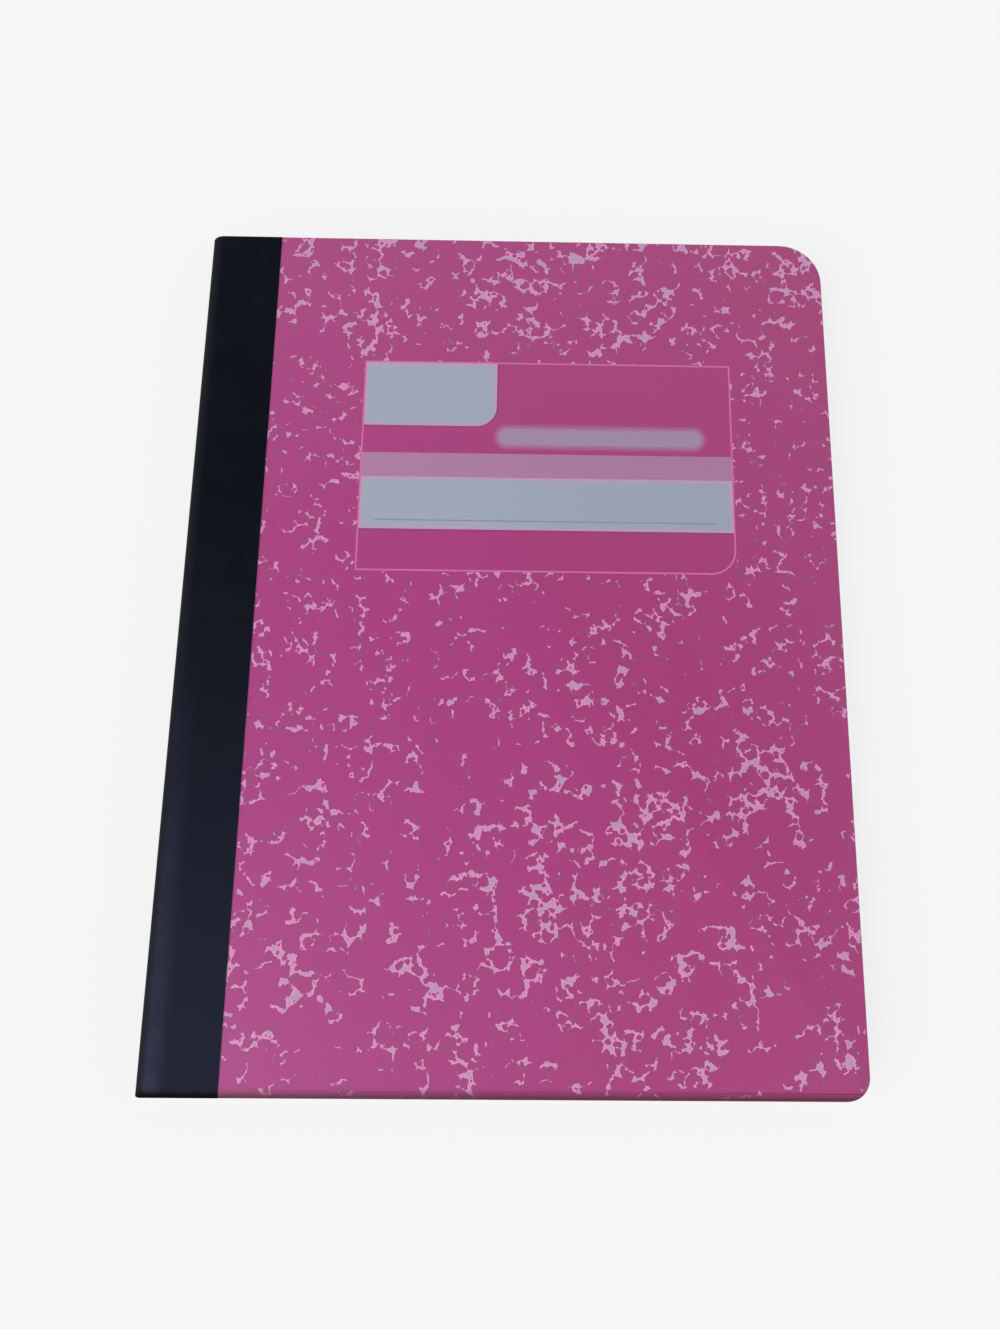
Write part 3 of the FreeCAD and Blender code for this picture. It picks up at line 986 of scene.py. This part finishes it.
sheets = []
for number in range(SHEETS):
    sheets.append(make_sheet(number, WAVE + WAVE * math.sin(number * WAVE_STEP)))
put_down()
for piece in sheets:
    piece.select_set(True)
bpy.context.view_layer.objects.active = sheets[0]
bpy.ops.object.join()
folded_sheets = bpy.context.object
folded_sheets.name = "folded_sheets"
folded_sheets.data.name = "folded_sheets"
bpy.ops.object.mode_set(mode="EDIT")
for row in range(PRESS_ROWS):
    bisect("y", roll_start - ROLL_WIDTH * row / PRESS_ROWS)
for height in rows_in_roll():
    pick("VERT", lambda vertex, spot: abs(spot.y - height) < ROW_TOLERANCE)
    share = 1 - roll_drop_at(height) / (pages_high.z - pages_low.z)
    bpy.ops.transform.resize(value=(1, 1, share), center_override=(0, 0, pages_low.z * MM))
bpy.ops.object.mode_set(mode="OBJECT")
paper_thickness = PAPER_SHARE * leaf_pitch
apply_modifier(folded_sheets, "SOLIDIFY", thickness=paper_thickness * MM, offset=0.0)


def leaf_face(face):
    """Ruled paper on the flat pages, streaked paper on their edges and folds."""
    flat = abs(face.normal.z) > 0.9
    return 0 if flat and face.center.x > (hinge_x + 1.0) * MM else 1


close_piece(folded_sheets, [ruled_paper, leaf_edges], leaf_face)
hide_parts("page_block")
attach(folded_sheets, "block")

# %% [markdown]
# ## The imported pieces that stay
# The card strip inside the spine, the two sewing threads and the printed fields of the label have
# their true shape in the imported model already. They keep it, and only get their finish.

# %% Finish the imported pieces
NODE_FINISH = {
    "cover_spine": pulp,
    "needle_thread": cotton,
    "bobbin_thread": cotton,
    "label_outline": outline_print,
    "label_panel": panel_print,
    "name_field": name_print,
    "title_bar": bar_print,
    "label_band": band_print,
    "name_rule": rule_print,
}
for name, material in NODE_FINISH.items():
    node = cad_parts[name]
    for slot in node.material_slots:
        slot.material = material
print("finished", len(NODE_FINISH), "packed pieces")

# %% [markdown]
# ## Floor and light
# The notebook lies on a plain pale floor in soft light. The floor is mostly a plain bright surface
# to the camera, so it stays even and pale, and the rest of it takes the notebook's soft shadow.
# It lies 0.8 mm under the notebook, which is the room that the back cover takes when it is folded
# all the way out.

# %% Floor
BACKDROP = ink(247, 247, 247)
FLOOR_DROP = 0.8
FLOOR_SIZE = 4.0
FLOOR_GLOW = 0.84


def rays(start):
    """1 for rays straight from the camera, and 1 for rays off gloss or through glass."""
    seen = start.add("ShaderNodeLightPath", {}, {}, output="Is Camera Ray")
    mirrored = start.add("ShaderNodeLightPath", {}, {}, output="Is Glossy Ray")
    through = start.add("ShaderNodeLightPath", {}, {}, output="Is Transmission Ray")
    return seen, mirrored.most(through)


def make_floor():
    """A wide pale floor that the camera sees as nearly white, with a soft shadow."""
    put_down()
    bpy.ops.mesh.primitive_plane_add(size=FLOOR_SIZE, location=(0, 0, -FLOOR_DROP * MM))
    floor = bpy.context.object
    floor.name = "studio_floor"
    material = bpy.data.materials.new("studio_floor")
    material.use_nodes = True
    tree = material.node_tree
    tree.nodes.clear()
    start = Wire(tree)
    seen, bounced = rays(start)
    glow = start.add("ShaderNodeEmission", {}, {"Color": BACKDROP, "Strength": 1.0})
    lit = start.add("ShaderNodeBsdfDiffuse", {}, {"Color": ink(243, 240, 236)})
    share = seen.most(bounced) * FLOOR_GLOW
    shader = start.add("ShaderNodeMixShader", {}, {0: share, 1: lit, 2: glow})
    start.add("ShaderNodeOutputMaterial", {}, {"Surface": shader})
    floor.data.materials.append(material)


make_floor()
print("the floor lies", FLOOR_DROP, "mm below the notebook")

# %% [markdown]
# The world behind the floor is pale too, for the camera and in reflections towards the sides. The
# part of it above the notebook is a large soft canopy, bright on the near left side and dark on
# the far right one. A flat satin cover mirrors just that part, so the canopy decides how washed
# out or deep its colours look.

# %% World light
SIDE_LIGHT = 0.86
CANOPY_EDGE = (0.72, 0.86)
CANOPY_SPAN = (-0.35, 0.45)
CANOPY_LEAN = 0.6
CANOPY_DARK = 0.02
CANOPY_BRIGHT = 0.8
CANOPY_COLOUR = (0.55, 0.62, 1.0, 1.0)
WHITE = (1.0, 1.0, 1.0, 1.0)


def make_world():
    """Even light from all round, and a canopy above that fades from left to right."""
    world = bpy.data.worlds.new("studio_world")
    world.use_nodes = True
    bpy.context.scene.world = world
    tree = world.node_tree
    tree.nodes.clear()
    start = Wire(tree)
    ray = start.add("ShaderNodeTexCoord", {}, {}, output="Generated")
    overhead = ray.part("Z").rise(*CANOPY_EDGE)
    canopy = 1 - (ray.part("Y") + CANOPY_LEAN * ray.part("X")).rise(*CANOPY_SPAN)
    above = CANOPY_DARK + (CANOPY_BRIGHT - CANOPY_DARK) * canopy
    strength = SIDE_LIGHT + (above - SIDE_LIGHT) * overhead
    colour = overhead.blend(WHITE, CANOPY_COLOUR)
    light = start.add("ShaderNodeBackground", {}, {"Color": colour, "Strength": strength})
    wall = start.add("ShaderNodeBackground", {}, {"Color": BACKDROP, "Strength": 1.0})
    seen, bounced = rays(start)
    share = seen.most(bounced * (1 - overhead))
    shader = start.add("ShaderNodeMixShader", {}, {0: share, 1: light, 2: wall})
    start.add("ShaderNodeOutputWorld", {}, {"Surface": shader})


make_world()
print("the world's light is", SIDE_LIGHT, "at the sides")

# %% [markdown]
# One wide lamp stands above the notebook's lower left. It gives most of the light on the covers,
# a soft shadow on the far side, and some shape to the rolled tail edge. A sun lamp lights every
# part alike, and its wide angle keeps the shadow soft, so no bright spot forms on the varnish.

# %% Key light
KEY_FROM = (-0.9, -0.6, 0.9)
KEY_STRENGTH = 1.95
KEY_SPREAD = 50.0
light = bpy.data.lights.new("soft_key", "SUN")
light.energy = KEY_STRENGTH
light.angle = math.radians(KEY_SPREAD)
lamp = bpy.data.objects.new("soft_key", light)
lamp.location = KEY_FROM
lamp.rotation_euler = (-Vector(KEY_FROM)).to_track_quat("-Z", "Y").to_euler()
bpy.context.collection.objects.link(lamp)
print("lit by one lamp and the world")
